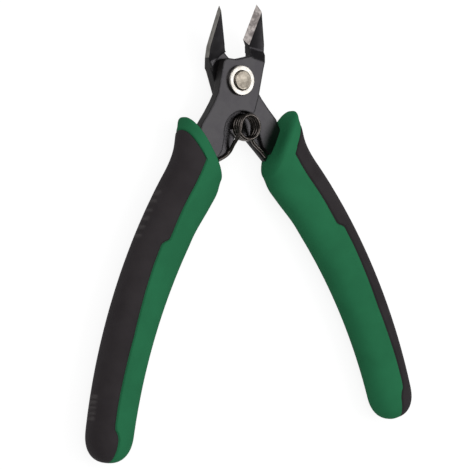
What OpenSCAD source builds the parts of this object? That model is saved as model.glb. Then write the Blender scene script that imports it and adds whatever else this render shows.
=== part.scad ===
// Flush cut pliers: two lapped levers on a rivet, a coil spring between them, two-colour grips.
// Every lever is drawn in its closed position and then opened about the rivet axis.
// +Y runs towards the jaw tips, +X to the right lever, +Z out of the rivet's spun head.

/* [Whole tool] */
// Half of the angle between the levers when the spring holds them open, degrees
open_half = 16.9; // [10:0.1:20]
// Pivot to jaw tips
jaw_reach = 21.5; // [18:0.1:26]
// Pivot to the ends of the grips, with the levers closed
handle_reach = 109; // [90:1:132]

/* [Rivet] */
// Radius of the rivet's shank
shank_r = 2.9; // [2.4:0.05:3.3]
// Radial running clearance between the shank and each lever's bore
bore_gap = 0.04; // [0.02:0.01:0.08]
// Radius of the rear head
head_r = 4.4; // [3.8:0.1:5.4]
// Thickness of the rear head
head_t = 0.8; // [0.5:0.1:1.2]
// Radius of the front washer
washer_r = 4.15; // [3.6:0.05:5.2]
// Thickness of the front washer
washer_t = 0.9; // [0.6:0.1:1.2]
// How far the spun post stands above the washer
post_rise = 0.55; // [0.3:0.05:0.9]

/* [Levers] */
// Thickness of each lever's plate
plate_t = 2.7; // [2.2:0.1:3.2]
// Gap between the two lapped plates, and under each head of the rivet
lap_gap = 0.04; // [0.02:0.01:0.08]
// Radius about the rivet that each plate's head stays inside
lap_r = 7.9; // [7.5:0.1:8.4]
// Clearance between a plate's head and the other lever's jaw
relief_gap = 0.7; // [0.2:0.1:0.8]
// Thickness of the jaws, measured along the rivet axis
jaw_t = 2; // [1.6:0.1:2.4]
// Angle that the jaws rise towards the front, degrees
head_tilt = 18.5; // [10:0.5:22]
// Half width of the jaws at the shoulder
jaw_half_w = 7.2; // [6.2:0.1:8]
// Width of the front jaw's bevel at the start of the edge
front_bevel_w = 1.3; // [0.6:0.1:1.6]
// Width of the rear jaw's bevel there
rear_bevel_w = 0.95; // [0.6:0.1:1.6]
// Light gap between each cutting edge and the closing plane
edge_gap = 0.02; // [0.01:0.01:0.05]
// Depth of the recess round the spring and under its legs
ledge_depth = 1; // [0.6:0.1:1.2]
// Radius of the recess round the spring
notch_r = 6.2; // [5.8:0.1:6.6]
// Radius of the holes that lock a tang into its grip
lock_hole_r = 1.3; // [0.8:0.1:1.5]

/* [Spring] */
// Diameter of the spring wire
wire_d = 1.05; // [0.8:0.05:1.2]
// Mean radius of the coil
coil_r = 3.3; // [3:0.1:3.4]
// Whole turns of the coil, to which the angle between its legs is added
coil_turns = 3; // [2:1:4]
// Clearance between the coil and the hole in the front plate
coil_gap = 0.3; // [0.2:0.1:0.5]

/* [Grips] */
// Thickness of the grips from front to back
grip_t = 10.8; // [9:0.2:13]
// Width of the grips below the mouth
grip_w_top = 15; // [13:0.2:16.4]
// Width of the grips above the rounded end
grip_w_end = 12.4; // [10.4:0.2:14]
// Radius of the curve that the grips follow
grip_arc_r = 161; // [150:1:175]
// Thickness of the soft cover
cover_t = 1.6; // [1.2:0.1:2.2]
// Width of the flat land that each grip rests on
land_w = 4; // [2:0.5:5]
// Length of the rounded end
cap_len = 8; // [6:0.5:10]
// Offset of the grips' middle from the plane between the plates
grip_rise = 0.9; // [0:0.1:1.2]

/* [Hidden] */
round_fn = 96;
cut = 40;                                    // longer than any plate is thick

// Heights, from the back face of the rivet's rear head
lap_z = head_t + lap_gap + plate_t + lap_gap / 2;
front_lo = lap_gap / 2;                      // the heights below are from the plane between the plates
front_hi = front_lo + plate_t;
rear_hi = -lap_gap / 2;
rear_lo = rear_hi - plate_t;
washer_lo = front_hi + lap_gap;

// Jaw profile, along the jaws
jaw_root = 3.6;                              // where the jaw joins the plate's head, inside both
edge_start = 11.7;                           // where the cutting edge begins
edge_z = 0.3;                                // its height there
slope = tan(head_tilt);
function jaw_low(y) = edge_z + (y - edge_start) * slope;
function jaw_top(y) = jaw_low(y) + jaw_t;
front_ramp = [7, 9.9];                       // the front plate's face falls to the jaw between these
rear_ramp = [6, 9];                           // and the rear plate's back rises to the jaw between these
rear_level = 7.8;                            // where the rear lever's jaw starts to rise
front_level = 10;                            // and where the front lever's does, underneath
relief_r = lap_r + relief_gap;

// Outlines in the closed position, for the lever with its jaw on the right and its tang on the left
notch_c = [4.1, -13.9];
coil_seat = [5.05, -11.9];                   // centre of the coil, which the front plate's notch holds
rear_shift = [-1.1, 0, 0];                   // the rear plate's recess lies this much further out
shoulder_y = 9;
shoulder_in = 1.35;                          // how far the jaw has narrowed at the shoulder's end
shoulder_len = 2.8;
tip_w = 1.05;
tip_len = 1.5;
front_neck = [[1.3, 10.4], [1.7, 9], [2, 7.5], [-0.5, 6.3]];
rear_neck = [[1, 10.4], [1, 8.9], [0.35, 8.2], [0.15, 7.6], [-0.5, 6.3]];
front_heel = [[-2, -15], [4, -12], [6.7, -7]];
rear_heel = [[-2, -15], [0.4, -17.5], [3.3, -15.9], [5.3, -13.8], [6.7, -9.5]];
front_inner = [[-3.6, -24.8], [-1.2, -22.9], [0.5, -21.1], [1.5, -19.5], [2.1, -17.6], [2.3, -15.4]];
rear_inner = [[-3.6, -25.6], [-2.6, -24.4], [-1.15, -21.1], [0.5, -17.6]];
front_in = 0.3;                              // how much each plate narrows beside the rivet
rear_in = 0.9;
function jaw_outline(neck, narrow) = concat(
    [[jaw_half_w - narrow, jaw_root], [jaw_half_w - narrow, 5], [jaw_half_w - narrow / 2, shoulder_y],
     [jaw_half_w - shoulder_in, shoulder_y + shoulder_len],
     [tip_w, jaw_reach - tip_len], [edge_gap, jaw_reach], [edge_gap, edge_start]],
    neck, [[-0.5, jaw_root]]);
function head_outline(neck, heel, narrow) = concat(
    [neck[len(neck) - 2], neck[len(neck) - 1], [-2.7, 5.3], [-5, 5], [-5.9, 4.6], [-6.45, 3.7],
     [-6.45, -2], [-6.3, -5], [-7, -7.8], [-8.2, -11.2], [-9.6, -14.6]],
    heel, [[7.15 - narrow / 2, -3.5], [jaw_half_w - narrow * 0.75, -1], [jaw_half_w - narrow, 5]]);

function mirrored(p) = [-p.x, p.y];
function turned(p, a) = [p.x * cos(a) - p.y * sin(a), p.x * sin(a) + p.y * cos(a)];
function opened(p) = turned(p, -open_half);  // from the left lever's closed position to its open one

// The grips' centre arc: a point at angle a, moved outwards by u
arc_c = [19.5 - grip_arc_r, -88.8];
function on_arc(a, u) = [arc_c.x + (grip_arc_r + u) * cos(a), arc_c.y + (grip_arc_r + u) * sin(a)];
arc_top = 15;                                // where the arc takes over from the shaped mouth
arc_end = asin((-handle_reach - arc_c.y) / grip_arc_r);
function half_w(a) = grip_w_end / 2 + (grip_w_top - grip_w_end) / 2 * (a - arc_end) / (arc_top - arc_end);

// The tang inside each grip
tang_out = 0.4;
tang_in = -4;
tang_start = 19;
tang_end = arc_top - (arc_top - arc_end) * 0.62;
tang_taper = 1.2;
tang_steps = 6;
function tang_angle(i) = tang_start + (tang_end - tang_start) * i / tang_steps;
function tang_outline(inner) = concat(
    [[-7, -7.8], [-8.2, -11.2], [-9.6, -14.6], [-10, -19], [-10.1, -26]],
    [for (i = [0:tang_steps]) mirrored(on_arc(tang_angle(i), tang_out))],
    [for (i = [tang_steps:-1:0]) mirrored(on_arc(tang_angle(i), tang_in + tang_taper * i / tang_steps))],
    inner, [[-2.3, -12]]);
ledge_outline = [[-1.8, -14], [-1.6, -17.6], [-1.6, -20], [-2.2, -21.6], [-4.6, -25], [5, -25], [5, -14]];

// Spring: centre of the coil, the bends and ends of its legs, and their heights, from the plane
// between the plates. The coil lies in the front plate's notch, on the face of the rear plate.
coil_c = opened(coil_seat);
coil_clear = 0.1;
coil_z = coil_clear + wire_d / 2;
coil_pitch = wire_d * 1.03;
leg_clear = 0.06;
left_leg_z = front_hi - ledge_depth + wire_d / 2 + leg_clear;
right_leg_z = rear_hi - ledge_depth + wire_d / 2 + leg_clear;
left_leg = [[-2.2, -23], [1.3, -19.4], [1.4, -17.8], [1.75, -15.6]];
left_lift = [0, 0, 0.35, 0.8];               // height of each, from 0 in the recess to 1 at the coil's top
right_leg = [[-0.1, -17.4], [-1.6, -20.6], [-2.8, -23.1]];

// Grip edges near the mouth, in the closed position, for the lever on the right
mouth_in = [[0.9, -26.3], [0.4, -27.4], [0.3, -29.2], [0.6, -31.8], [1.5, -34.8], [2.8, -38], [4.9, -43]];
mouth_out = [[13.1, -14.3], [14.3, -13.9], [15, -15.4], [15.1, -17.3], [14.8, -21.2], [15.5, -26.4],
             [17.5, -32.4]];
grip_power = 2.5;                            // exponent of the grips' rounded section
ring_n = 32;                                 // points round a section
arc_n = 14;                                  // sections along the arc
cap_n = 6;                                   // sections in the rounded end
cover_first = 3;                             // first section that has a cover
part_in = 1.8;                               // offset of the line between core and cover
rest_z = grip_rise - grip_t / 2 * pow(1 - pow(land_w / grip_w_end, grip_power), 1 / grip_power);
function cap_scale(q) = pow(1 - pow(q, 2.4), 1 / 2.4);

// Each station is [inner edge, outer edge, scale of the thickness]
cap_start = arc_end + cap_len / grip_arc_r * 180 / PI;
function arc_station(a, s) = [on_arc(a, -half_w(a) * s), on_arc(a, half_w(a) * s), s];
stations = concat(
    [for (i = [0:len(mouth_in) - 1]) [mouth_in[i], mouth_out[i], 1]],
    [for (i = [0:arc_n - 1]) arc_station(arc_top + (cap_start - arc_top) * i / (arc_n - 1), 1)],
    [for (i = [1:cap_n])
        let (q = min(i / cap_n, 0.985)) arc_station(cap_start + (arc_end - cap_start) * q, cap_scale(q))]);

// A point of a section: angle f round the rounded rectangle, pulled in by d
function signed_pow(v, e) = sign(v) * pow(abs(v), e);
function section_point(st, f, d) =
    let (mid = (st[0] + st[1]) / 2, half = (st[1] - st[0]) / 2, w = norm(half),
         in = d * st[2],
         u = (w - in) * signed_pow(cos(f), 2 / grip_power) / w,
         z = grip_rise + (grip_t / 2 * st[2] - in) * signed_pow(sin(f), 2 / grip_power))
    [mid.x + half.x * u, mid.y + half.y * u, max(z, rest_z + in)];
function part_angle(st) = acos(pow(part_in / (norm(st[1] - st[0]) / 2 / st[2]), grip_power / 2));
function span(a, b, n) = [for (i = [0:n]) a + (b - a) * i / n];
cover_n = 12;
core_n = ring_n - cover_n;
function core_ring(st, covered) = let (f = part_angle(st), d = covered ? cover_t : 0)
    concat([for (a = span(f, 360 - f, core_n)) section_point(st, a, 0)],
           [for (a = span(-f, f, cover_n)) section_point(st, a, d)]);
function cover_ring(st) = let (f = part_angle(st))
    concat([for (a = span(-f, f, cover_n)) section_point(st, a, 0)],
           [for (a = span(f, -f, cover_n)) section_point(st, a, cover_t)]);

// A closed skin over a row of rings that all have the same number of points. Points from number turn
// on run backwards, so the diagonals there swap and match those of the skin that they lie against.
module skin(rings, turn = 1000) {
    n = len(rings[0]);
    last = len(rings) - 1;
    polyhedron(
        points = [for (r = rings) each r],
        faces = concat(
            [[for (j = [0:n - 1]) j]],
            [for (i = [0:last - 1]) for (j = [0:n - 1]) let (k = (j + 1) % n, a = i * n, b = a + n)
                j < turn ? [a + j, b + j, a + k] : [a + j, b + j, b + k]],
            [for (i = [0:last - 1]) for (j = [0:n - 1]) let (k = (j + 1) % n, a = i * n, b = a + n)
                j < turn ? [a + k, b + j, b + k] : [a + j, b + k, a + k]],
            [[for (j = [n - 1:-1:0]) last * n + j]]),
        convexity = 6);
}

// Places a lever's children: closed to open, and up to the lap plane
module left_lever() { translate([0, 0, lap_z]) rotate([0, 0, -open_half]) children(); }
module right_lever() { translate([0, 0, lap_z]) rotate([0, 0, open_half]) mirror([1, 0, 0]) children(); }

module slab(outline, low, high) { translate([0, 0, low]) linear_extrude(high - low) polygon(outline); }

module disc(r, low, high) { translate([0, 0, low]) cylinder(h = high - low, r = r, $fn = round_fn); }

// A shape drawn in the Y-Z plane and carried across the jaw
module across(outline) {
    translate([-2, 0, 0]) rotate([90, 0, 90]) linear_extrude(jaw_half_w + 4) polygon(outline);
}

module tang(inner, low, high) {
    difference() {
        slab(tang_outline(inner), low, high);
        for (t = [0.45, 0.85])
            let (p = mirrored(on_arc(tang_angle(tang_steps * t), (tang_out + tang_in) / 2)))
            translate([p.x, p.y, 0]) disc(lock_hole_r, low - 1, high + 1);
    }
}

module disc_at(p, r, low, high) { translate([p.x, p.y, 0]) disc(r, low, high); }

// Takes the bevel off a jaw, from its cutting edge up to its front face
module bevel_cut(bevel_w) {
    rise = jaw_t * cos(head_tilt);
    run = (jaw_reach - edge_start) / cos(head_tilt) + 1;
    translate([0, edge_start, edge_z]) rotate([head_tilt, 0, 0]) translate([0, run, 0]) rotate([90, 0, 0])
        linear_extrude(run + 1.5)
            polygon([[-1, 0], [edge_gap, 0], [bevel_w, rise], [2 * bevel_w, 2 * rise], [-1, 2 * rise]]);
}

// The jaw is one bent slab: profile gives its sides along the tool
module jaw(profile, neck, narrow, bevel_w) {
    difference() {
        intersection() {
            across(profile);
            slab(jaw_outline(neck, narrow), -cut / 2, cut / 2);
        }
        bevel_cut(bevel_w);
    }
}

// Bores the plate for the rivet and sinks the recess round the spring
module finished_blade(low, high, shift) {
    floor_z = high - ledge_depth;
    difference() {
        children();
        disc(shank_r + bore_gap, low - 1, high + 1);
        translate(shift) slab(ledge_outline, floor_z, high + 1);
        translate(shift) disc_at(notch_c, notch_r, floor_z, high + 1);
    }
}

module front_blade() {
    far = jaw_reach + 1;
    base_z = jaw_low(front_level);
    color("dimgray") left_lever() difference() {
        finished_blade(front_lo, front_hi, [0, 0, 0]) {
            slab(head_outline(front_neck, front_heel, front_in), front_lo, front_hi);
            tang(front_inner, front_lo, front_hi);
            difference() {
                jaw([[jaw_root, base_z], [front_level, base_z], [far, jaw_low(far)], [far, jaw_top(far)],
                     [front_ramp[1], jaw_top(front_ramp[1])], [front_ramp[0], front_hi],
                     [jaw_root, front_hi]], front_neck, front_in, front_bevel_w);
                disc(relief_r, base_z - 1, front_lo);
            }
        }
        disc_at(coil_seat, coil_r + wire_d / 2 + coil_gap, front_lo - 1, front_hi + 1);
    }
}

module rear_blade() {
    far = jaw_reach + 1;
    base_z = jaw_top(rear_level);
    color("dimgray") right_lever() finished_blade(rear_lo, rear_hi, rear_shift) {
        slab(head_outline(rear_neck, rear_heel, rear_in), rear_lo, rear_hi);
        tang(rear_inner, rear_lo, rear_hi);
        difference() {
            jaw([[jaw_root, rear_lo], [rear_ramp[0], rear_lo], [rear_ramp[1], jaw_low(rear_ramp[1])],
                 [far, jaw_low(far)], [far, jaw_top(far)], [rear_level, base_z],
                 [jaw_root, base_z]], rear_neck, rear_in, rear_bevel_w);
            disc(relief_r, rear_hi, base_z + 1);
        }
    }
}

post_r = shank_r - 0.15;
module rivet() {
    chamfer = 0.3;
    post_top = lap_z + washer_lo + washer_t + post_rise;
    color("silver") rotate_extrude($fn = round_fn)
        polygon([[0, 0], [head_r - chamfer, 0], [head_r, chamfer], [head_r, head_t], [shank_r, head_t],
                 [shank_r, lap_z + washer_lo], [post_r, lap_z + washer_lo],
                 [post_r, post_top - chamfer], [post_r - chamfer, post_top], [0, post_top]]);
}

module rivet_washer() {
    chamfer = 0.15;
    color("white") translate([0, 0, lap_z + washer_lo]) rotate_extrude($fn = round_fn)
        polygon([[post_r, 0], [washer_r, 0], [washer_r, washer_t - chamfer], [washer_r - chamfer, washer_t],
                 [post_r, washer_t]]);
}

// The spring's centre line: left leg, coil, right leg
function leg_start(p, way) = let (v = p - coil_c) atan2(v.y, v.x) + way * acos(coil_r / norm(v));
coil_a = leg_start(opened(left_leg[3]), -1) + 360;   // atan2 gives the left leg a negative angle
coil_b = leg_start(mirrored(opened(right_leg[0])), 1);
coil_sweep = coil_a - coil_b + 360 * coil_turns;
coil_steps = round(coil_sweep / 15);
coil_rise = coil_pitch * coil_sweep / 360;
coil_line = [for (i = [0:coil_steps])
    let (t = i / coil_steps, a = coil_a - coil_sweep * t)
    [coil_c.x + coil_r * cos(a), coil_c.y + coil_r * sin(a), coil_z + coil_rise * (1 - t)]];
coil_top = coil_z + coil_rise;
wire_line = concat(
    [for (i = [0:3]) let (p = opened(left_leg[i]))
        [p.x, p.y, left_leg_z + (coil_top - left_leg_z) * left_lift[i]]],
    coil_line,
    [for (q = right_leg) let (p = mirrored(opened(q))) [p.x, p.y, right_leg_z]]);
wire_sides = 8;

function unit(v) = v / norm(v);
function wire_ring(i) =
    let (last = len(wire_line) - 1,
         t = unit(wire_line[min(i + 1, last)] - wire_line[max(i - 1, 0)]),
         n = unit(cross(t, [0, 0, 1])), b = cross(n, t))
    [for (j = [0:wire_sides - 1]) wire_line[i] + wire_d / 2 * (cos(360 * j / wire_sides) * n
                                                               + sin(360 * j / wire_sides) * b)];
module return_spring() {
    color("black") translate([0, 0, lap_z]) skin([for (i = [0:len(wire_line) - 1]) wire_ring(i)]);
}

// Just ahead of the cover's first section, so that the core steps down to its seat
step_station = stations[cover_first] * 0.98 + stations[cover_first - 1] * 0.02;

module grip_core() {
    last = len(stations) - 1;
    color("seagreen") skin(concat(
        [for (i = [0:cover_first - 1]) core_ring(stations[i], false)],
        [core_ring(step_station, false)],
        [for (i = [cover_first:last]) core_ring(stations[i], true)]));
}

module grip_cover() {
    last = len(stations) - 1;
    color("#2f2a2c") skin([for (i = [cover_first:last]) cover_ring(stations[i])], cover_n + 1);
}

// The core is moulded round the tang
module moulded(inner, low, high) {
    difference() { mirror([1, 0, 0]) grip_core(); tang(inner, low, high); }
}

module left_grip_core() { left_lever() moulded(front_inner, front_lo, front_hi); }
module left_grip_cover() { left_lever() mirror([1, 0, 0]) grip_cover(); }
module right_grip_core() { right_lever() moulded(rear_inner, rear_lo, rear_hi); }
module right_grip_cover() { right_lever() mirror([1, 0, 0]) grip_cover(); }

rivet();
rivet_washer();
return_spring();
front_blade();
rear_blade();
left_grip_core();
left_grip_cover();
right_grip_core();
right_grip_cover();
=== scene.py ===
"""Looks of a pair of flush cut pliers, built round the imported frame.

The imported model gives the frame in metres: +Y runs towards the jaw tips, +Z out of the rivet's
spun head, and the origin is on the back of the rivet. Lever parts are worked out in millimetres
in the lever's closed position, as for the right-hand grip, and then mirrored, opened and lifted
into the frame by the class Lever.
"""

import logging
import math
from dataclasses import dataclass
from enum import Enum, IntEnum

import bmesh
import bpy
import numpy as np
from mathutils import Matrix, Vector


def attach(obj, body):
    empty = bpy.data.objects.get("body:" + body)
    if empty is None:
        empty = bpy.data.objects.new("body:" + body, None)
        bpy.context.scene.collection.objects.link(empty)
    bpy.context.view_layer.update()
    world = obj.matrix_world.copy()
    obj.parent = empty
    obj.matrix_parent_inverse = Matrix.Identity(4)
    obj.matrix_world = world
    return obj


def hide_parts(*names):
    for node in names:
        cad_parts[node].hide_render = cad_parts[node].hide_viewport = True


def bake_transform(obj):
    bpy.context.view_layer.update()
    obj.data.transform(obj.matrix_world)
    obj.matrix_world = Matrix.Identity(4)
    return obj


LOG = logging.getLogger("pliers")
MM = 0.001
LAP_Z = 3.56
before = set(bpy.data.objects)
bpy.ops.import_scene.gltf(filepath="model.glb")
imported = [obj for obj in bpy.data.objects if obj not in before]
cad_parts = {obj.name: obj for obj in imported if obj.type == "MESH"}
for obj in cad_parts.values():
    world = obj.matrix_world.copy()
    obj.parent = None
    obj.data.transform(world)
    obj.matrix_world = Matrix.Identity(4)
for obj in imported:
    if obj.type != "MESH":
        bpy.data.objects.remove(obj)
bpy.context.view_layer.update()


# ---------------------------------------------------------------- shapes


def spline(knots: np.ndarray, at: np.ndarray, values: np.ndarray) -> np.ndarray:
    """Natural cubic spline through values at the knots, evaluated at other places.

    Each stretch between knots is a cubic whose second derivative runs straight from one knot to
    the next and is zero at both ends; the second derivatives solve one tridiagonal system.

    Args:
        knots: rising parameter of each value, shape (k,).
        at: parameters to evaluate at, shape (n,).
        values: one row for each knot, shape (k, d).

    Returns:
        Array of shape (n, d).
    """
    k = len(knots)
    h = np.diff(knots)
    system = np.eye(k)
    right = np.zeros_like(values)
    inner = np.arange(1, k - 1)
    system[inner, inner - 1] = h[:-1]
    system[inner, inner] = 2 * (h[:-1] + h[1:])
    system[inner, inner + 1] = h[1:]
    slope = np.diff(values, axis=0) / h[:, None]
    right[1:-1] = 6 * np.diff(slope, axis=0)
    curve = np.linalg.solve(system, right)
    i = np.clip(np.searchsorted(knots, at) - 1, 0, k - 2)
    a = ((knots[i + 1] - at) / h[i])[:, None]
    b = 1 - a
    h2 = (h[i] ** 2 / 6)[:, None]
    return a * values[i] + b * values[i + 1] + h2 * ((a**3 - a) * curve[i] + (b**3 - b) * curve[i + 1])


def lengths(points: np.ndarray) -> np.ndarray:
    """Running length along a row of points, starting at 0."""
    return np.concatenate([[0], np.cumsum(np.linalg.norm(np.diff(points, axis=0), axis=1))])


def smooth(value: np.ndarray) -> np.ndarray:
    """Smooth step: 3v^2 - 2v^3 of the value cut to 0..1."""
    v = np.clip(value, 0, 1)
    return v * v * (3 - 2 * v)


def crowded(count: int) -> np.ndarray:
    """Shares from 0 to 1, closer together at both ends: v - 0.85 sin(2 pi v) / (2 pi) of even shares v."""
    v = np.linspace(0, 1, count)
    return v - 0.85 * np.sin(2 * np.pi * v) / (2 * np.pi)


def from_ends(points: np.ndarray) -> np.ndarray:
    """Running length from each point of a row to the nearer end of that row.

    Args:
        points: places, shape (rows, points, 3).

    Returns:
        Array of shape (rows, points).
    """
    step = np.linalg.norm(np.diff(points, axis=1), axis=2)
    ahead = np.concatenate([np.zeros((len(points), 1)), np.cumsum(step, axis=1)], axis=1)
    return np.minimum(ahead, ahead[:, -1:] - ahead)


def ring_faces(rings: int, count: int, closed: bool = False) -> np.ndarray:
    """Quads between rings of points that are stored ring by ring.

    Args:
        rings: number of rings.
        count: points in each ring.
        closed: whether the last ring joins the first.

    Returns:
        Array of shape (quads, 4) of point numbers.
    """
    i, j = np.meshgrid(np.arange(rings if closed else rings - 1), np.arange(count), indexing="ij")
    k = (j + 1) % count
    row, after = i * count, (i + 1) % rings * count
    return np.stack([row + j, row + k, after + k, after + j], -1).reshape(-1, 4)


def mesh_object(name: str, points: np.ndarray, faces: list, smooth_angle: float = 40) -> bpy.types.Object:
    """Puts points and faces into a new object, with outward normals and smooth shading.

    Args:
        name: name of the piece.
        points: vertex places in metres, shape (n, 3).
        faces: face corner lists, quads or others.
        smooth_angle: edges sharper than this many degrees stay crisp.

    Returns:
        The linked object, at the origin.
    """
    mesh = bpy.data.meshes.new(name)
    mesh.from_pydata(points, [], faces)
    work = bmesh.new()
    work.from_mesh(mesh)
    bmesh.ops.remove_doubles(work, verts=work.verts, dist=1e-7)
    bmesh.ops.recalc_face_normals(work, faces=work.faces)
    work.to_mesh(mesh)
    work.free()
    mesh.shade_smooth()
    mesh.set_sharp_from_angle(angle=math.radians(smooth_angle))
    made = bpy.data.objects.new(name, mesh)
    bpy.context.scene.collection.objects.link(made)
    return made


def ring_solid(name: str, rings: np.ndarray, smooth_angle: float = 40) -> bpy.types.Object:
    """A closed skin over a stack of rings, with a fan of triangles over each end.

    Args:
        name: name of the piece.
        rings: places in metres, shape (rings, points, 3).
        smooth_angle: edges sharper than this many degrees stay crisp.

    Returns:
        The linked object.
    """
    m, n = rings.shape[:2]
    points = np.concatenate([rings.reshape(-1, 3), rings[[0, -1]].mean(axis=1)])
    j = np.arange(n)
    k = (j + 1) % n
    first = np.stack([k, j, np.full(n, m * n)], -1)
    last = np.stack([(m - 1) * n + j, (m - 1) * n + k, np.full(n, m * n + 1)], -1)
    faces = ring_faces(m, n).tolist() + first.tolist() + last.tolist()
    return mesh_object(name, points, faces, smooth_angle)


def turned(profile: np.ndarray, turns: int = 96) -> np.ndarray:
    """Rings of a turned profile: x = r cos t, y = r sin t and z = height.

    Args:
        profile: radius and height of each point, shape (n, 2).
        turns: points round the axis.

    Returns:
        Places, shape (n, turns, 3).
    """
    t = np.linspace(0, 2 * np.pi, turns, endpoint=False)
    r, z = profile[:, 0, None], profile[:, 1, None]
    return np.stack([r * np.cos(t), r * np.sin(t), z + 0 * t], -1)


def lathe(name: str, profile: np.ndarray, turns: int = 96) -> bpy.types.Object:
    """Turns a profile about the Z axis into a closed piece.

    Args:
        name: name of the piece.
        profile: radius and height of each point in metres, shape (n, 2).
        turns: points round the axis.

    Returns:
        The linked object.
    """
    return ring_solid(name, turned(profile, turns), 30)


def tube(name: str, line: np.ndarray, radius: float, sides: int = 20) -> bpy.types.Object:
    """A round wire along a line: each ring lies across the line's direction, one axis kept level.

    Args:
        name: name of the piece.
        line: centre line in metres, shape (n, 3).
        radius: radius of the wire in metres.
        sides: points round the wire.

    Returns:
        The linked object, with slightly rounded ends.
    """
    along = np.gradient(line, axis=0)
    along /= np.linalg.norm(along, axis=1)[:, None]
    across = np.cross(along, [0, 0, 1])
    across /= np.linalg.norm(across, axis=1)[:, None]
    third = np.cross(across, along)
    t = np.linspace(0, 2 * np.pi, sides, endpoint=False)
    rings = line[:, None] + radius * (
        np.cos(t)[:, None] * across[:, None] + np.sin(t)[:, None] * third[:, None]
    )
    return ring_solid(name, rings, 50)


class Side(Enum):
    """Which lever a part belongs to: the sign of its grip's x."""

    LEFT = -1
    RIGHT = 1


@dataclass(frozen=True)
class Lever:
    """Carries a lever's parts from the closed drawing to the open frame."""

    side: Side
    lap_z: float = LAP_Z
    half_angle: float = 16.9

    def place(self, points: np.ndarray) -> np.ndarray:
        """Mirrors points for the left lever, opens them about the rivet and lifts them to the lap plane.

        Args:
            points: places in the closed drawing in millimetres, shape (..., 3).

        Returns:
            Places in the frame in metres, same shape.
        """
        a = math.radians(self.half_angle) * self.side.value
        x = points[..., 0] * self.side.value
        y, z = points[..., 1], points[..., 2]
        return MM * np.stack(
            [x * math.cos(a) - y * math.sin(a), x * math.sin(a) + y * math.cos(a), z + self.lap_z], -1
        )

    def drawing_way(self, ways: np.ndarray) -> np.ndarray:
        """Turns directions back into the drawing of this lever's jaw, which points to +x.

        Args:
            ways: directions in the frame, shape (..., 3).

        Returns:
            Directions in the drawing, same shape.
        """
        a = math.radians(self.half_angle) * self.side.value
        x = ways[..., 0] * math.cos(a) + ways[..., 1] * math.sin(a)
        y = -ways[..., 0] * math.sin(a) + ways[..., 1] * math.cos(a)
        return np.stack([-x * self.side.value, y, ways[..., 2]], -1)

    def drawing(self, points: np.ndarray) -> np.ndarray:
        """Places in the frame turned back into the drawing of this lever's jaw, in millimetres."""
        return self.drawing_way(points / MM) - [0, 0, self.lap_z]

    def flat(self, spots: tuple) -> np.ndarray:
        """Flat places in the frame, in millimetres, of points (x, y) of the closed drawing."""
        return self.place(np.array([[x, y, 0.0] for x, y in spots]))[:, :2] / MM

    @property
    def body(self) -> str:
        """Name of the body that the lever's pieces ride on."""
        return f"{self.side.name.lower()}_lever"


# ---------------------------------------------------------------- materials


class Nodes:
    """A short way to write node trees."""

    def __init__(self, tree: bpy.types.NodeTree) -> None:
        """Keeps the tree that nodes are added to."""
        self.tree = tree

    def add(self, kind: str, inputs: dict | None = None, **settings: object) -> bpy.types.Node:
        """Adds a node.

        Args:
            kind: Blender's node type.
            inputs: socket name or number to a value or to another node's output.
            settings: node properties.

        Returns:
            The node.
        """
        node = self.tree.nodes.new(kind)
        for key, value in settings.items():
            setattr(node, key, value)
        for key, value in (inputs or {}).items():
            socket = node.inputs[key]
            if isinstance(value, bpy.types.NodeSocket):
                self.tree.links.new(value, socket)
            else:
                socket.default_value = value
        return node

    def ramp(self, value: bpy.types.NodeSocket, low: float, high: float) -> bpy.types.NodeSocket:
        """Stretches a value so that low gives 0 and high gives 1, with soft ends.

        Args:
            value: the value.
            low: value that gives 0.
            high: value that gives 1.

        Returns:
            The stretched value.
        """
        node = self.add(
            "ShaderNodeMapRange",
            {"Value": value, "From Min": low, "From Max": high},
            interpolation_type="SMOOTHSTEP",
        )
        return node.outputs["Result"]

    def mix(self, factor: object, a: object, b: object) -> bpy.types.NodeSocket:
        """Mixes two colours; 6, 7 and 2 are the numbers of the node's colour sockets.

        Args:
            factor: share of the second colour.
            a: first colour, or the output that gives it.
            b: second colour, or the output that gives it.

        Returns:
            The mixed colour.
        """
        return self.add("ShaderNodeMix", {0: factor, 6: a, 7: b}, data_type="RGBA").outputs[2]

    def math(self, operation: str, a: object, b: object = 0.0) -> bpy.types.NodeSocket:
        """One step of arithmetic on two values."""
        return self.add("ShaderNodeMath", {0: a, 1: b}, operation=operation).outputs[0]


def linear(red: int, green: int, blue: int) -> tuple[float, float, float, float]:
    """A display colour of 0 to 255 as the linear colour that Blender's sockets take."""
    done = [c / 255 for c in (red, green, blue)]
    return (*[c / 12.92 if c <= 0.04045 else ((c + 0.055) / 1.055) ** 2.4 for c in done], 1.0)


def grey(level: float) -> tuple[float, float, float, float]:
    """A neutral linear colour."""
    return (level, level, level, 1.0)


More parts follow.
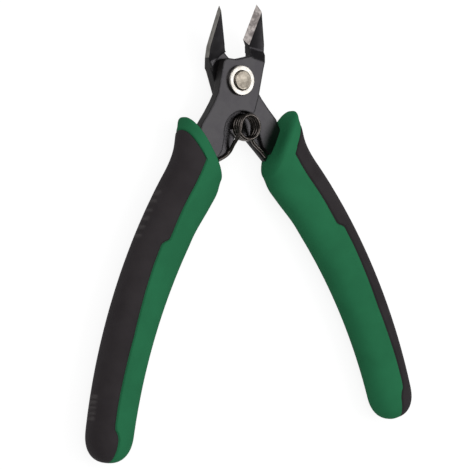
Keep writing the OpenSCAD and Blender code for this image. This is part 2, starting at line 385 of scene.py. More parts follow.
def cloud_group() -> bpy.types.NodeTree:
    """Shared group: soft patches and fine grain on object coordinates.

    Patches is a noise of the given size, Grain a much finer one, both 0 to 1, and Height mixes
    them for a bump.

    Returns:
        The group, made once.
    """
    name = "patches_and_grain"
    if name in bpy.data.node_groups:
        return bpy.data.node_groups[name]
    group = bpy.data.node_groups.new(name, "ShaderNodeTree")
    for label, value in (("Patch Scale", 300.0), ("Grain Scale", 4000.0), ("Grain Share", 0.7)):
        socket = group.interface.new_socket(label, in_out="INPUT", socket_type="NodeSocketFloat")
        socket.default_value = value
    for label in ("Patches", "Grain", "Height"):
        group.interface.new_socket(label, in_out="OUTPUT", socket_type="NodeSocketFloat")
    n = Nodes(group)
    given = n.add("NodeGroupInput")
    spot = n.add("ShaderNodeTexCoord").outputs["Object"]
    patches = n.add(
        "ShaderNodeTexNoise",
        {"Vector": spot, "Scale": given.outputs["Patch Scale"], "Detail": 3.0, "Roughness": 0.6},
    ).outputs["Fac"]
    grain = n.add(
        "ShaderNodeTexNoise",
        {"Vector": spot, "Scale": given.outputs["Grain Scale"], "Detail": 2.0, "Roughness": 0.7},
    ).outputs["Fac"]
    height = n.add(
        "ShaderNodeMix",
        {"Factor": given.outputs["Grain Share"], "A": patches, "B": grain},
        data_type="FLOAT",
    ).outputs["Result"]
    n.add("NodeGroupOutput", {"Patches": patches, "Grain": grain, "Height": height})
    return group


# Paler colour painted on the cover's raised bars: a painted highlight for the light that the bars catch.
BAR_HIGHLIGHT_TINT = linear(78, 74, 75)


@dataclass(frozen=True)
class Finish:
    """A finish: its slot, colours and surface.

    soft_edge is the radius in metres over which shading rounds the edges, or 0 for none. The last field
    names the piece's attribute that says where a paler colour is painted on as a highlight, or is empty.
    """

    slot: str
    colour: tuple
    second: tuple
    roughness: float
    metallic: float = 0.0
    specular: float = 0.5
    patch_scale: float = 300.0
    grain_scale: float = 4000.0
    grain_share: float = 0.7
    rough_swing: float = 0.1
    bump: float = 0.1
    bump_depth: float = 0.00005
    soft_edge: float = 0.0
    painted_highlight: str = ""

    def build(self) -> bpy.types.Material:
        """Builds the material: patches of two colours, uneven roughness, a fine bump and soft edges.

        Returns:
            The material, made once for each slot.
        """
        name = f"{self.slot}_finish"
        if name in bpy.data.materials:
            return bpy.data.materials[name]
        material = bpy.data.materials.new(name)
        material.use_nodes = True
        n = Nodes(material.node_tree)
        shader = material.node_tree.nodes["Principled BSDF"]
        shader.inputs["Metallic"].default_value = self.metallic
        shader.inputs["Specular IOR Level"].default_value = self.specular
        cloud = n.add(
            "ShaderNodeGroup",
            {
                "Patch Scale": self.patch_scale,
                "Grain Scale": self.grain_scale,
                "Grain Share": self.grain_share,
            },
            node_tree=cloud_group(),
        )
        link = material.node_tree.links.new
        link(self.tint(n, cloud), shader.inputs["Base Color"])
        rough = n.math("MULTIPLY_ADD", cloud.outputs["Patches"], self.rough_swing)
        rough.node.inputs[2].default_value = self.roughness - self.rough_swing / 2
        link(rough, shader.inputs["Roughness"])
        bump = n.add(
            "ShaderNodeBump",
            {"Height": cloud.outputs["Height"], "Strength": self.bump, "Distance": self.bump_depth},
        )
        if self.soft_edge:
            soft = n.add("ShaderNodeBevel", {"Radius": self.soft_edge}, samples=6)
            link(soft.outputs["Normal"], bump.inputs["Normal"])
        link(bump.outputs["Normal"], shader.inputs["Normal"])
        return material

    def tint(self, n: Nodes, cloud: bpy.types.Node) -> bpy.types.NodeSocket:
        """Colour of the finish: its two colours mixed by the patches, and a paler colour painted on as a
        highlight where the piece's attribute says.

        Args:
            n: the material's nodes.
            cloud: the node of the shared group.

        Returns:
            The colour.
        """
        base = n.mix(n.ramp(cloud.outputs["Patches"], 0.35, 0.65), self.colour, self.second)
        if not self.painted_highlight:
            return base
        # Painted highlight: the paler colour is mixed in where the attribute is high.
        mask = n.add("ShaderNodeAttribute", {}, attribute_name=self.painted_highlight)
        return n.mix(mask.outputs["Fac"], base, BAR_HIGHLIGHT_TINT)


GREEN = Finish(
    "green_grip", linear(40, 109, 73), linear(43, 116, 78), 0.7, specular=0.04,
    patch_scale=60.0, grain_scale=5000.0, rough_swing=0.08, bump=0.12,
)
# The black cover's raised bars get a painted highlight through a point attribute.
BLACK = Finish(
    "black_grip", linear(50, 46, 48), linear(56, 52, 54), 0.68, specular=0.07,
    patch_scale=90.0, grain_scale=3500.0, rough_swing=0.1, bump=0.3, painted_highlight="worn_bars",
)
BLADE = Finish(
    "blade_steel", (0.078, 0.074, 0.08, 1), (0.1, 0.096, 0.101, 1), 0.42, metallic=1.0,
    patch_scale=220.0, grain_scale=2600.0, grain_share=0.6, rough_swing=0.12, bump=0.22, soft_edge=0.0007,
)
# The blade's side walls get a near-black colour: painted shade, darker than the faces because the walls lie
# in shade.
SIDE_SHADE = Finish(
    "blade_wall_shade", (0.012, 0.011, 0.012, 1), (0.02, 0.018, 0.018, 1), 0.55, specular=0.2,
    patch_scale=260.0, grain_scale=2600.0, grain_share=0.6, rough_swing=0.12, bump=0.3, soft_edge=0.0007,
)
EDGE = Finish(
    "edge_ground", (0.84, 0.77, 0.74, 1), (0.34, 0.3, 0.29, 1), 0.5, metallic=0.25,
    patch_scale=620.0, grain_scale=3000.0, grain_share=0.5, rough_swing=0.2, bump=0.3,
)
FLANK = Finish(
    "flank_ground", (0.2, 0.19, 0.175, 1), (0.13, 0.125, 0.115, 1), 0.42, metallic=1.0,
    patch_scale=420.0, grain_scale=3000.0, grain_share=0.5, rough_swing=0.15, bump=0.3,
)
SPRING = Finish(
    "spring_steel", (0.17, 0.15, 0.14, 1), (0.1, 0.088, 0.08, 1), 0.3, metallic=1.0,
    patch_scale=500.0, rough_swing=0.15,
)
RIVET = Finish(
    "rivet_steel", (0.45, 0.405, 0.34, 1), (0.3, 0.265, 0.22, 1), 0.36, metallic=1.0,
    patch_scale=700.0, grain_scale=3000.0, rough_swing=0.2, bump=0.5,
)
WASHER = Finish(
    "washer_steel", (0.72, 0.69, 0.65, 1), (0.6, 0.57, 0.52, 1), 0.34, metallic=1.0,
    patch_scale=400.0, rough_swing=0.1,
)


def dress(piece: bpy.types.Object, finish: Finish) -> None:
    """Gives a piece its finish and names the slot it comes from.

    Args:
        piece: the piece.
        finish: its finish.
    """
    piece.data.materials.clear()
    piece.data.materials.append(finish.build())


# ---------------------------------------------------------------- grips


@dataclass(frozen=True)
class GripForm:
    """Form of one grip in the closed drawing, in millimetres, with its outer side towards +x.

    A grip is a stack of rounded sections. Each section lies on a straight line from the inner
    edge to the outer edge: near the mouth the lines run with the mouth, and below it they run
    across an arc. join is how many degrees below arc_top the mouth's splines still follow the
    arc. parting is the line between the two colours. A group of bars is the y of its first bar,
    the number of bars, and the step from one to the next.
    """

    arc_radius: float = 161.0
    arc_centre: tuple = (-141.5, -88.8)
    arc_top: float = 15.0
    end_y: float = -109.0
    width_top: float = 15.0
    width_end: float = 12.4
    thickness: float = 10.8
    rise: float = 0.9
    land: float = 4.0
    power: float = 2.5
    cap_length: float = 8.0
    cap_power: float = 2.4
    mouth_in: tuple = (
        (0.9, -26.3), (0.4, -27.4), (0.3, -29.2), (0.6, -31.8), (1.5, -34.8), (2.8, -38), (4.9, -43),
    )
    mouth_out: tuple = (
        (13.1, -14.3), (14.3, -13.9), (15, -15.4), (15.1, -17.3), (14.8, -21.2), (15.5, -26.4), (17.5, -32.4),
    )
    join: tuple = (0.0, 1.5, 3.0)
    lip: float = 1.3
    step: float = 0.5
    near_length: float = 1.6
    near_rows: int = 9
    near_power: float = 1.5
    cap_rows: int = 26
    cap_last: float = 0.9995
    cover_row: int = 3
    seat_rows: tuple = (-0.36, -0.24, -0.12, 0, 0.12, 0.24, 0.36)
    seat_clear: float = 0.3
    cover_depth: float = 1.6
    cover_overlap: float = 0.05
    groove: float = 0.42
    groove_width: float = 0.34
    bar_groups: tuple = ((-35.9, 6, 2.5), (-92.6, 5, 1.45))
    bar_height: float = 0.2
    bar_width: float = 0.42
    bar_slant: float = -0.012
    bar_ends: tuple = (-22, 18)
    bar_fade: float = 12
    parting_reach: tuple = (-0.6, 0.86)
    parting: tuple = (
        (9.6, -22.6), (8.5, -23.7), (8.3, -24.2), (8.45, -25), (8.8, -26.3), (9.6, -29.2), (11.55, -35),
        (13.16, -40), (14.42, -45), (15.1, -47.6), (15.4, -47.95), (16.35, -48.6), (17.2, -49.3),
        (17.45, -49.8), (17.7, -51.2), (18.53, -55), (19.83, -65), (20.49, -75), (21.18, -85),
        (21.35, -90), (21.3, -94), (21.05, -98.8), (20.75, -100.2), (19.7, -101.3), (19.05, -102.8),
        (18.75, -105.6), (18.7, -107.5), (18.6, -109),
    )

    def half_width(self, a: np.ndarray) -> np.ndarray:
        """Half of the width at arc angle a in degrees: straight from the top to the end."""
        share = (a - self.arc_end) / (self.arc_top - self.arc_end)
        return self.width_end / 2 + (self.width_top - self.width_end) / 2 * share

    @property
    def arc_end(self) -> float:
        """Arc angle of the grip's end, degrees."""
        return math.degrees(math.asin((self.end_y - self.arc_centre[1]) / self.arc_radius))

    def on_arc(self, a: np.ndarray, u: np.ndarray) -> np.ndarray:
        """Points beside the arc: the centre plus (r + u) (cos a, sin a).

        Args:
            a: arc angles, degrees.
            u: distances outwards of the arc.

        Returns:
            Array of shape (n, 2).
        """
        t = np.radians(a)
        r = self.arc_radius + u
        return np.stack([self.arc_centre[0] + r * np.cos(t), self.arc_centre[1] + r * np.sin(t)], -1)

    def mouth_rows(self) -> tuple[np.ndarray, np.ndarray, float, float]:
        """Works out the sections from the mouth down to the arc.

        The two edges are cubic splines through the mouth's points and the first arc sections.
        Rows are crowded at the mouth and where the cover starts.

        Returns:
            The rows' inner and outer edge points side by side, their depths below the mouth, the
            depth at which the cover starts, and the depth at which the arc starts.
        """
        top = self.arc_top - np.array(self.join)
        half = self.half_width(top)
        inner = np.concatenate([np.array(self.mouth_in), self.on_arc(top, -half)])
        outer = np.concatenate([np.array(self.mouth_out), self.on_arc(top, half)])
        knots = lengths((inner + outer) / 2)
        seat, arc = knots[self.cover_row], knots[len(self.mouth_in)]
        near = np.linspace(0, 1, self.near_rows) ** self.near_power * self.near_length
        at = np.concatenate([near[:-1], np.arange(self.near_length, arc - 0.01, self.step)])
        away = at[np.abs(at - seat) > self.seat_clear]
        at = np.sort(np.concatenate([away, seat + np.array(self.seat_rows)]))
        return spline(knots, at, np.concatenate([inner, outer], axis=1)), at, seat, arc

    def rows(self) -> dict[str, np.ndarray]:
        """Works out all the sections: the mouth's, then the arc's, which shrink at the grip's end.

        With q the way along the end from 0 to 1, a section there has the scale (1 - q^p)^(1/p).

        Returns:
            inner and outer: edge points of each section; scale: of its thickness; depth: how far
            below the mouth it lies; seat: the depth at which the cover starts.
        """
        both, at, seat, arc = self.mouth_rows()
        cap_start = self.arc_end + math.degrees(self.cap_length / self.arc_radius)
        a = np.arange(self.arc_top, cap_start, -math.degrees(self.step / self.arc_radius))
        q = np.append(np.sin(np.linspace(0, np.pi / 2, self.cap_rows))[:-1], self.cap_last)
        every = np.concatenate([a, cap_start + (self.arc_end - cap_start) * q])
        scale = np.append(np.ones(len(a)), (1 - q**self.cap_power) ** (1 / self.cap_power))
        half = self.half_width(every) * scale
        return {
            "inner": np.concatenate([both[:, :2], self.on_arc(every, -half)]),
            "outer": np.concatenate([both[:, 2:], self.on_arc(every, half)]),
            "scale": np.concatenate([np.ones(len(at)), scale]),
            "depth": np.concatenate([at, arc + lengths(self.on_arc(every, 0 * every))]),
            "seat": np.array(seat),
        }

    def parting_offset(self, rows: dict[str, np.ndarray]) -> np.ndarray:
        """How far outwards of each section's middle the parting line crosses it.

        Every point of the parting line is put on the section that it lies on, by where its signed
        distance to the section lines changes sign, and the offsets are read off in between.

        Args:
            rows: the sections.

        Returns:
            Offset of each section, in millimetres.
        """
        mid = (rows["inner"] + rows["outer"]) / 2
        way = rows["outer"] - rows["inner"]
        half = np.linalg.norm(way, axis=1) / 2
        way = way / (2 * half[:, None])
        line = np.array(self.parting)
        gap = line[:, None] - mid[None]
        side = gap[..., 0] * way[None, :, 1] - gap[..., 1] * way[None, :, 0]
        along = gap[..., 0] * way[None, :, 0] + gap[..., 1] * way[None, :, 1]
        number = np.argmax(side[:, 1:] * side[:, :-1] <= 0, axis=1)
        pick = np.arange(len(line))
        s0, s1 = side[pick, number], side[pick, number + 1]
        share = s0 / (s0 - s1 + 1e-12)
        depth = rows["depth"][number] * (1 - share) + rows["depth"][number + 1] * share
        offset = along[pick, number] * (1 - share) + along[pick, number + 1] * share
        order = np.argsort(depth)
        found = np.interp(rows["depth"], depth[order], offset[order])
        return np.clip(found, self.parting_reach[0] * half, self.parting_reach[1] * half)


@dataclass
class Grip:
    """One two-colour grip: a green core and a soft black cover over its outer side."""

    lever: Lever
    form: GripForm = GripForm()
    outer_points: int = 120
    cover_points: int = 72

    def section(self, rows: dict[str, np.ndarray], f: np.ndarray, inset: np.ndarray) -> np.ndarray:
        """Points of the rounded sections.

        A point at angle f is (w - d) cos^(2/p) f along the section and (h - d) sin^(2/p) f in
        height, signs kept, with d the inset; the back is cut flat on the resting land.

        Args:
            rows: the sections.
            f: angles, shape (rows, points), radians.
            inset: inset d, same shape.

        Returns:
            Closed drawing points, shape (rows, points, 3).
        """
        form = self.form
        mid = ((rows["inner"] + rows["outer"]) / 2)[:, None]
        half = ((rows["outer"] - rows["inner"]) / 2)[:, None]
        w = np.linalg.norm(half, axis=2)
        s = rows["scale"][:, None]
        h = form.thickness / 2 * s
        d = np.minimum(inset * s, 0.97 * np.minimum(w, h))
        e = 2 / form.power
        c, t = np.cos(f), np.sin(f)
        u = (w - d) * np.sign(c) * np.abs(c) ** e / w
        z = form.rise + (h - d) * np.sign(t) * np.abs(t) ** e
        flat = (1 - (form.land / form.width_end) ** form.power) ** (1 / form.power)
        z = np.maximum(z, form.rise - form.thickness / 2 * flat + d)
        xy = mid + half * u[..., None]
        return np.concatenate([xy, z[..., None]], -1)

    def build(self) -> list[bpy.types.Object]:
        """Builds both shells from the same sections and the same parting line.

        Returns:
            The green core and the black cover.
        """
        rows = self.form.rows()
        half = np.linalg.norm(rows["outer"] - rows["inner"], axis=1) / 2
        offset = self.form.parting_offset(rows)
        f_part = np.arccos(np.sign(offset) * np.abs(offset / half) ** (self.form.power / 2))[:, None]
        return [self.core(rows, f_part), self.cover(rows, f_part)]

    def core(self, rows: dict[str, np.ndarray], f_part: np.ndarray) -> bpy.types.Object:
        """The core: the part that always shows, and a stretch that lies deeper under the cover.

        The mouth's rim is a quarter round. A groove of depth g exp(-(s / w)^2) runs along the
        parting line, with s the distance from it.

        Args:
            rows: the sections.
            f_part: angle of the parting line in each section, shape (rows, 1).

        Returns:
            The piece, riding on its lever.
        """
        form = self.form
        depth, w2 = rows["depth"], form.groove_width**2
        before = np.maximum(rows["seat"] - depth, 0)[:, None]
        lip = np.clip(form.lip - depth, 0, form.lip)
        rim = (form.lip - np.sqrt(form.lip**2 - lip**2))[:, None]
        f_shown = f_part + (2 * np.pi - 2 * f_part) * crowded(self.outer_points)[None]
        gap = from_ends(self.section(rows, f_shown, 0 * f_shown))
        shown = self.section(rows, f_shown, form.groove * np.exp(-((gap**2 + before**2) / w2)) + rim)
        f_under = f_part * np.linspace(-1, 1, self.cover_points)[None]
        open_part = form.groove * np.exp(-(before**2 / w2)) + rim + 0 * f_under
        covered = (depth >= rows["seat"] - 1e-6)[:, None]
        under = self.section(rows, f_under, np.where(covered, form.cover_depth, open_part))
        rings = np.concatenate([shown, under], axis=1)
        skin = self.lever.place(np.concatenate([self.mouth_rings(rings), rings]))
        return self.shell("shell", "core", skin, GREEN)

    def cover(self, rows: dict[str, np.ndarray], f_part: np.ndarray) -> bpy.types.Object:
        """The cover, with the groove along its edges and a painted highlight on the raised bars.

        Args:
            rows: the sections.
            f_part: angle of the parting line in each section, shape (rows, 1).

        Returns:
            The piece, riding on its lever.
        """
        form = self.form
        keep = rows["depth"] >= rows["seat"] - 1e-6
        part = {name: (x[keep] if x.ndim else x) for name, x in rows.items()}
        f_part, w2 = f_part[keep], form.groove_width**2
        f_top = f_part * (2 * crowded(self.cover_points)[None] - 1)
        gap = from_ends(self.section(part, f_top, 0 * f_top))
        past = (part["depth"] - part["seat"])[:, None]
        dip = form.groove * np.maximum(np.exp(-(gap**2) / w2), np.exp(-(past**2) / w2))
        bars = self.ticks(part, f_top)
        top = self.section(part, f_top, dip - bars)
        f_low = f_part * (1 - 2 * np.linspace(0, 1, self.cover_points)[None])
        low = self.section(part, f_low, form.cover_depth - form.cover_overlap + 0 * f_low)
        piece = self.shell("jacket", "cover", self.lever.place(np.concatenate([top, low], axis=1)), BLACK)
        # Painted highlight: each bar's height as a share of the full height says how much paler colour it
        # gets.
        painted_highlight = np.zeros(len(piece.data.vertices), dtype=np.float32)
        lined = np.concatenate([bars, np.zeros_like(f_low)], axis=1)
        painted_highlight[: lined.size] = np.clip(lined / form.bar_height, 0, 1).ravel()
        piece.data.attributes.new(BLACK.painted_highlight, "FLOAT", "POINT").data.foreach_set("value", painted_highlight)
        return piece

    def shell(self, made: str, node: str, rings: np.ndarray, finish: Finish) -> bpy.types.Object:
        """Makes one shell of the grip, dresses it and lets it ride on the lever.

        Args:
            made: last word of the piece's name.
            node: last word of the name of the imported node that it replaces.
            rings: places in metres, shape (rings, points, 3).
            finish: its finish.

        Returns:
            The piece.
        """
        side = self.lever.side.name.lower()
        piece = ring_solid(f"{side}_grip_{made}", rings, 50)
        dress(piece, finish)
        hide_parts(f"{side}_grip_{node}")
        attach(piece, self.lever.body)
        return piece

    def mouth_rings(self, rings: np.ndarray) -> np.ndarray:
        """Rings that close the mouth: the first ring shrunk towards its middle and sunk a little.

        Args:
            rings: the core's rings, shape (rings, points, 3).

        Returns:
            Three more rings, from the middle outwards.
        """
        middle = rings[0].mean(axis=0)
        way = rings[3].mean(axis=0) - middle
        way /= np.linalg.norm(way)
        share = np.array([0.15, 0.5, 0.85])[:, None, None]
        sink = np.array([0.5, 0.25, 0.0])[:, None, None]
        return middle + (rings[0] - middle) * share + sink * way

    def ticks(self, rows: dict[str, np.ndarray], f: np.ndarray) -> np.ndarray:
        """Height of the short slanted bars on the outer side, in groups along the grip.

        A bar's height is h exp(-(s / w)^4), with s the distance from its middle line, and it fades
        out at both ends.

        Args:
            rows: the sections.
            f: angles, shape (rows, points), radians.

        Returns:
            Heights in millimetres, same shape as f.
        """
        form = self.form
        turn = np.degrees(f)
        low, high = form.bar_ends
        ends = smooth((turn - low) / form.bar_fade) * smooth((high - turn) / form.bar_fade)
        y = rows["outer"][:, 1][:, None] + turn * form.bar_slant
        height = np.zeros_like(f)
        for start, count, pitch in form.bar_groups:
            for i in range(count):
                away = (y - (start - pitch * i)) / form.bar_width
                height = height + form.bar_height * np.exp(-(away**4)) * ends
        return height


# ---------------------------------------------------------------- blades, rivet and spring


class Face(IntEnum):
    """Kind of a blade's face: its number among the blade's finishes."""

    GROUND = 0
    # Side walls are coloured with painted shade.
    SIDE = 1
    BEVEL = 2
    FLANK = 3


@dataclass
class Blades:
    """The two forged plates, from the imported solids, with eased edges and ground jaws.

    ease, rim, back and keen are edge widths in millimetres. head is where the edge of the back is
    rounded in a lever's drawing: the least x, and the lowest and highest y. An edge of the back
    lies below back_level, and a jaw starts at the y of jaw_start.
    """

    ease: float = 0.17
    rim: float = 0.3
    back: float = 0.5
    keen: float = 0.05
    least_angle: float = 18
    plate: float = 2.7
    head: tuple = (4.5, -6.5, 9.5)
    back_level: float = -2
    jaw_start: float = 8
    jaw_tilt: float = 18.5
    jaw_thickness: float = 2.0
    bevels: tuple = (("front_blade", Side.LEFT, 1.3), ("rear_blade", Side.RIGHT, 0.95))

    def build(self) -> list[bpy.types.Object]:
        """Builds both blades."""
        return [self.blade(node, Lever(side), width) for node, side, width in self.bevels]

    def blade(self, node: str, lever: Lever, bevel_width: float) -> bpy.types.Object:
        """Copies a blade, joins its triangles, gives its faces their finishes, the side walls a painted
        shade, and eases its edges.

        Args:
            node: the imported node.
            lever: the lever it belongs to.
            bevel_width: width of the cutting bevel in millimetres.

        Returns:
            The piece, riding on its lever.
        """
        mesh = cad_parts[node].data.copy()
        work = bmesh.new()
        work.from_mesh(mesh)
        bmesh.ops.remove_doubles(work, verts=work.verts, dist=2e-6)
        bmesh.ops.dissolve_limit(work, angle_limit=math.radians(1), verts=work.verts, edges=work.edges)
        work.faces.ensure_lookup_table()
        normals = lever.drawing_way(np.array([f.normal for f in work.faces]))
        places = lever.drawing(np.array([f.calc_center_median() for f in work.faces]))
        kinds = self.face_kinds(normals, places, bevel_width)
        weight = work.edges.layers.float.new("bevel_weight_edge")
        for edge in work.edges:
            edge[weight] = self.edge_weight(edge, normals, places, kinds, lever)
        work.to_mesh(mesh)
        work.free()
        piece = bpy.data.objects.new(f"{node}_ground", mesh)
        bpy.context.scene.collection.objects.link(piece)
        bevel = piece.modifiers.new("eased_edges", "BEVEL")
        bevel.width = self.back * MM
        bevel.segments = 3
        bevel.limit_method = "WEIGHT"
        bevel.harden_normals = True
        mesh.shade_smooth()
        mesh.set_sharp_from_angle(angle=math.radians(30))
        dress(piece, BLADE)
        for finish in (SIDE_SHADE, EDGE, FLANK):  # in the order of Face
            mesh.materials.append(finish.build())
        mesh.polygons.foreach_set("material_index", kinds.astype(np.int32))
        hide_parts(node)
        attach(piece, lever.body)
        return piece

    def face_kinds(self, normals: np.ndarray, places: np.ndarray, bevel_width: float) -> np.ndarray:
        """Finds the kind of each face of a blade.

        The cutting bevel's normal is square to the jaw's slope and to the line across the bevel.

        Args:
            normals: normals of the faces in the jaw's drawing, shape (faces, 3).
            places: middles of the faces there, in millimetres, same shape.
            bevel_width: width of the cutting bevel in millimetres.

        Returns:
            One value of Face for each face.
        """
        tilt = math.radians(self.jaw_tilt)
        rise = self.jaw_thickness * math.cos(tilt)
        bevel = np.array([-rise, -bevel_width * math.sin(tilt), bevel_width * math.cos(tilt)])
        bevel /= np.linalg.norm(bevel)
        upright = np.abs(normals[:, 2])
        on_jaw = places[:, 1] > self.jaw_start
        kinds = np.where(upright < 0.5, Face.SIDE.value, Face.GROUND.value)
        kinds = np.where(on_jaw & (normals[:, 0] > 0.75) & (upright < 0.3), Face.FLANK.value, kinds)
        return np.where(on_jaw & (normals @ bevel > 0.97), Face.BEVEL.value, kinds)

    def edge_weight(
        self,
        edge: bmesh.types.BMEdge,
        normals: np.ndarray,
        places: np.ndarray,
        kinds: np.ndarray,
        lever: Lever,
    ) -> float:
        """Share of the largest easing that an edge gets.

        Cutting edges stay keen, the rim of a plate's face is eased more than other edges, and the
        outer edge of the tool's back is rounded most.

        Args:
            edge: the edge.
            normals: normals of the faces in the jaw's drawing.
            places: middles of the faces there, in millimetres.
            kinds: kinds of the faces.
            lever: the lever that the blade belongs to.

        Returns:
            Share from 0 to 1.
        """
        if len(edge.link_faces) != 2:
            return 0.0
        if edge.calc_face_angle(0.0) < math.radians(self.least_angle):
            return 0.0
        a, b = (face.index for face in edge.link_faces)
        if Face.BEVEL in (kinds[a], kinds[b]):
            return self.keen / self.back
        spots = lever.drawing(np.array([v.co for v in edge.verts]))
        level = max(abs(normals[a, 2]), abs(normals[b, 2])) > 0.99
        least_x, low_y, high_y = self.head
        outer = spots[:, 0].mean() > least_x and low_y < spots[:, 1].mean() < high_y
        if level and outer and spots[:, 2].max() < self.back_level:
            return 1.0
        wall = a if abs(normals[a, 2]) < 0.1 else b
        above = abs(spots[0, 2] - places[wall, 2] - self.plate / 2)
        whole = abs(normals[wall, 2]) < 0.1 and above < 0.2
        facing = max(normals[a, 2], normals[b, 2]) > 0.99
        return (self.rim if facing and whole else self.ease) / self.back


@dataclass
class Pivot:
    """Rivet, washer and spring, in millimetres above the back of the rivet or the lap plane."""

    lap_z: float = LAP_Z
    plate: float = 2.7
    rear_head: tuple = ((0.05, 0), (4.1, 0), (4.3, 0.06), (4.4, 0.25), (4.4, 0.7), (4.32, 0.8), (2.9, 0.8))
    shank: float = 2.9
    post: float = 2.75
    post_rise: float = 0.55
    post_round: float = 0.35
    dish: float = 0.12
    dish_radius: float = 2.2
    washer_low: float = 2.76
    washer_thickness: float = 0.9
    washer_radius: float = 4.15
    washer_round: float = 0.25
    washer_bore: float = 2.76
    bore_round: float = 0.12
    wire: float = 1.05
    coil_seat: tuple = (-5.05, -11.9)
    coil_radius: float = 3.3
    coil_low: float = 0.1
    coil_pitch: float = 1.03
    turns: int = 3
    left_leg: tuple = ((2.2, -23), (-1.3, -19.4), (-1.4, -17.8), (-1.75, -15.6))
    left_lift: tuple = (0, 0, 0.35, 0.8)
    right_leg: tuple = ((0.1, -17.4), (1.6, -20.6), (2.8, -23.1))
    recess: float = 1.0
    seat_gap: float = 0.06
    lap_gap: float = 0.02

    def build(self) -> list[bpy.types.Object]:
        """Builds the rivet, the washer and the spring."""
        return [self.rivet(), self.washer(), *self.spring()]

    def rivet(self) -> bpy.types.Object:
        """The rivet: flat rear head, shank and a spun post with a round rim and a shallow dish.

        Returns:
            The piece, riding on the pivot.
        """
        base = self.lap_z + self.washer_low
        top = base + self.washer_thickness + self.post_rise
        shank = [[self.shank, base], [self.post, base]]
        t = np.linspace(0, np.pi / 2, 9)
        edge = self.post_round
        rim = np.stack([self.post - edge + edge * np.cos(t), top - edge + edge * np.sin(t)], -1)
        t = np.linspace(np.pi / 2, 0, 12)
        dish = np.stack([np.linspace(self.dish_radius, 0.05, 12), top - self.dish * np.cos(t)], -1)
        piece = lathe("rivet_spun", np.concatenate([self.rear_head, shank, rim, dish]) * MM)
        dress(piece, RIVET)
        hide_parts("rivet")
        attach(piece, "pivot")
        return piece

    def washer(self) -> bpy.types.Object:
        """The bright washer: a turned loop, whose outer and inner rims are quarter rounds.

        Returns:
            The piece, riding on the pivot.
        """
        low = self.lap_z + self.washer_low
        high = low + self.washer_thickness
        t = np.linspace(0, np.pi / 2, 7)
        edge, hole = self.washer_round, self.bore_round
        rim = np.stack([self.washer_radius - edge + edge * np.cos(t), high - edge + edge * np.sin(t)], -1)
        bore = np.stack([self.washer_bore + hole - hole * np.sin(t), high - hole + hole * np.cos(t)], -1)
        loop = np.concatenate([[[self.washer_bore, low], [self.washer_radius, low]], rim, bore])
        rings = turned(loop) * MM
        faces = ring_faces(*rings.shape[:2], closed=True)
        piece = mesh_object("washer_bright", rings.reshape(-1, 3), faces.tolist(), 35)
        dress(piece, WASHER)
        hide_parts("rivet_washer")
        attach(piece, "pivot")
        return piece

    def leave(self, spot: np.ndarray, centre: np.ndarray, way: int) -> float:
        """Angle at which a straight line from a spot touches the coil.

        Args:
            spot: flat place, in millimetres.
            centre: flat place of the coil's middle.
            way: 1 or -1, the side on which the line touches.

        Returns:
            Angle about the coil's middle, radians.
        """
        v = spot - centre
        return math.atan2(v[1], v[0]) + way * math.acos(self.coil_radius / np.linalg.norm(v))

    def spring_lines(self) -> dict[str, np.ndarray]:
        """Centre lines of the spring's pieces above the lap plane, in millimetres.

        The coil is a helix, x = r cos a, y = r sin a, with a height that falls evenly as a turns
        back, between the tangents from the first points of the legs. The legs are splines that
        start on it. The right leg is two lines, which meet halfway.

        Returns:
            Name of each piece to its line, shape (n, 3).
        """
        left, right = Lever(Side.LEFT), Lever(Side.RIGHT)
        centre = left.flat((self.coil_seat,))[0]
        left_flat, right_flat = left.flat(self.left_leg), right.flat(self.right_leg)
        start = self.leave(left_flat[-1], centre, -1) + 2 * math.pi
        sweep = start - self.leave(right_flat[0], centre, 1) + 2 * math.pi * self.turns
        t = np.linspace(0, 1, 260)
        a = start - sweep * t
        low = self.coil_low + self.wire / 2
        rise = self.wire * self.coil_pitch * sweep / (2 * math.pi)
        r = self.coil_radius
        coil = np.stack([centre[0] + r * np.cos(a), centre[1] + r * np.sin(a), low + rise * (1 - t)], -1)
        seat = self.wire / 2 + self.seat_gap - self.recess
        left_seat, right_seat = self.plate + self.lap_gap + seat, seat - self.lap_gap
        lift = left_seat + (low + rise - left_seat) * np.array(self.left_lift)
        left_way = np.concatenate([np.column_stack([left_flat, lift]), coil[:6:2]])
        right_lift = np.full(len(right_flat), right_seat)
        right_way = np.concatenate([coil[-5::2], np.column_stack([right_flat, right_lift])])
        left_line, right_line = (
            spline(lengths(way), np.linspace(0, lengths(way)[-1], 90), way) for way in (left_way, right_way)
        )
        middle = len(right_line) // 2
        return {
            "spring_coil": coil,
            "spring_left_leg": left_line,
            "spring_right_leg_root": right_line[: middle + 1],
            "spring_right_leg_end": right_line[middle:],
        }

    def spring(self) -> list[bpy.types.Object]:
        """The return spring, whose coil lies in the left lever's notch.

        The right leg runs over to the right lever and is cut into two pieces that meet halfway;
        neither piece is attached to a body.

        Returns:
            The pieces of the spring.
        """
        left, right = Lever(Side.LEFT).body, Lever(Side.RIGHT).body
        made = []
        for name, line in self.spring_lines().items():
            place = (line + [0, 0, self.lap_z]) * MM
            piece = tube(name, place, self.wire / 2 * MM)
            dress(piece, SPRING)
            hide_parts("return_spring")
            if name == "spring_right_leg_root":
                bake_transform(piece)
            elif name == "spring_right_leg_end":
                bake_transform(piece)
            else:
                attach(piece, left)
            made.append(piece)
        return made


# ---------------------------------------------------------------- studio


@dataclass(frozen=True)
class Softbox:
    """A square area lamp that faces the tool's middle."""

    name: str
    direction: tuple
    distance: float
    size: float
    radiance: float

    def build(self, middle: Vector) -> None:
        """Places the lamp; its power is pi times its area times its radiance.

        Args:
            middle: the point that it faces.
        """
        light = bpy.data.lights.new(self.name, "AREA")
        light.shape = "SQUARE"
        light.size = self.size
        light.energy = math.pi * self.size**2 * self.radiance
        lamp = bpy.data.objects.new(self.name, light)
        way = Vector(self.direction).normalized()
        lamp.location = middle + way * self.distance
        lamp.rotation_euler = way.to_track_quat("Z", "Y").to_euler()
        bpy.context.scene.collection.objects.link(lamp)


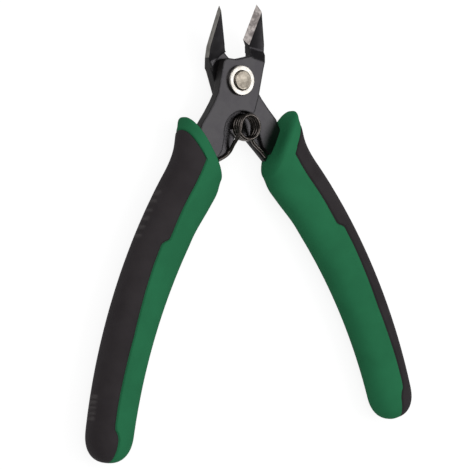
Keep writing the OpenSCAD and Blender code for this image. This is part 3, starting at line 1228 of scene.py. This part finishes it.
@dataclass
class Studio:
    """Camera, lamps, world and the pale floor.

    camera_turn is the camera's turn about X, Y and Z in degrees. The room gives glossy rays
    mirror_level, the camera's own rays white, and every other ray soft_level.
    """

    soft_level: float = 0.62
    mirror_level: float = 0.08
    floor_z: float = -0.00083
    floor_half: float = 1.5
    floor_shade: float = 0.42
    floor_glow: float = 0.87
    floor_shadow: float = 0.2
    middle: tuple = (0, -0.04, 0.004)
    lamps: tuple = (
        Softbox("key", (0.60, -0.02, 0.80), 0.7, 0.34, 2.6),
        Softbox("fill", (-0.45, 0.50, 0.74), 0.9, 0.6, 1.2),
    )
    lens: float = 176.44
    camera_place: tuple = (-0.36821, -0.00954, 0.51866)
    camera_turn: tuple = (-0.634, -35.453, -4.012)

    def build(self) -> None:
        """Sets up everything round the tool: a key lamp at the right, a fill, and a soft room."""
        self.camera()
        for lamp in self.lamps:
            lamp.build(Vector(self.middle))
        world = bpy.data.worlds.new("studio")
        world.use_nodes = True
        tree = world.node_tree
        n = Nodes(tree)
        path = n.add("ShaderNodeLightPath")
        room = n.mix(path.outputs["Is Glossy Ray"], grey(self.soft_level), grey(self.mirror_level))
        level = n.mix(path.outputs["Is Camera Ray"], room, grey(1.0))
        tree.links.new(level, tree.nodes["Background"].inputs["Color"])
        world.cycles.sampling_method = "NONE"
        bpy.context.scene.world = world
        self.floor()
        bpy.context.scene.view_settings.view_transform = "Standard"

    def camera(self) -> None:
        """The camera, a long lens high on the tool's left."""
        data = bpy.data.cameras.new("camera")
        data.lens = self.lens
        data.sensor_width = 36.0
        data.clip_start = 0.01
        camera = bpy.data.objects.new("camera", data)
        camera.location = self.camera_place
        camera.rotation_euler = [math.radians(turn) for turn in self.camera_turn]
        bpy.context.scene.collection.objects.link(camera)
        bpy.context.scene.camera = camera

    def floor(self) -> None:
        """A pale floor that stays white to the camera and keeps a light shadow."""
        r, z = self.floor_half, self.floor_z
        corners = np.array([(-r, -r, z), (r, -r, z), (r, r, z), (-r, r, z)])
        piece = mesh_object("floor", corners, [[0, 1, 2, 3]])
        material = bpy.data.materials.new("pale_floor")
        material.use_nodes = True
        tree = material.node_tree
        tree.nodes.clear()
        n = Nodes(tree)
        cloth = n.add("ShaderNodeBsdfDiffuse", {"Color": grey(self.floor_shade)})
        glow = n.add("ShaderNodeEmission", {"Color": grey(self.floor_glow), "Strength": 1.0})
        shade = n.add("ShaderNodeBsdfDiffuse", {"Color": grey(self.floor_shadow)})
        seen = n.add("ShaderNodeAddShader", {0: glow.outputs[0], 1: shade.outputs[0]})
        path = n.add("ShaderNodeLightPath")
        show = n.math("MAXIMUM", path.outputs["Is Camera Ray"], path.outputs["Is Glossy Ray"])
        show = n.math("MAXIMUM", show, path.outputs["Is Transmission Ray"])
        both = n.add("ShaderNodeMixShader", {0: show, 1: cloth.outputs[0], 2: seen.outputs[0]})
        n.add("ShaderNodeOutputMaterial", {"Surface": both.outputs[0]})
        piece.data.materials.append(material)


def main() -> None:
    """Builds the tool and the studio in order and reports each piece."""
    logging.basicConfig(level=logging.INFO, format="%(name)s: %(message)s")
    made = []
    for side in Side:
        made += Grip(Lever(side)).build()
    made += Blades().build()
    made += Pivot().build()
    for piece in made:
        LOG.info("%s: %d faces", piece.name, len(piece.data.polygons))
    Studio().build()


if __name__ == "__main__":
    main()
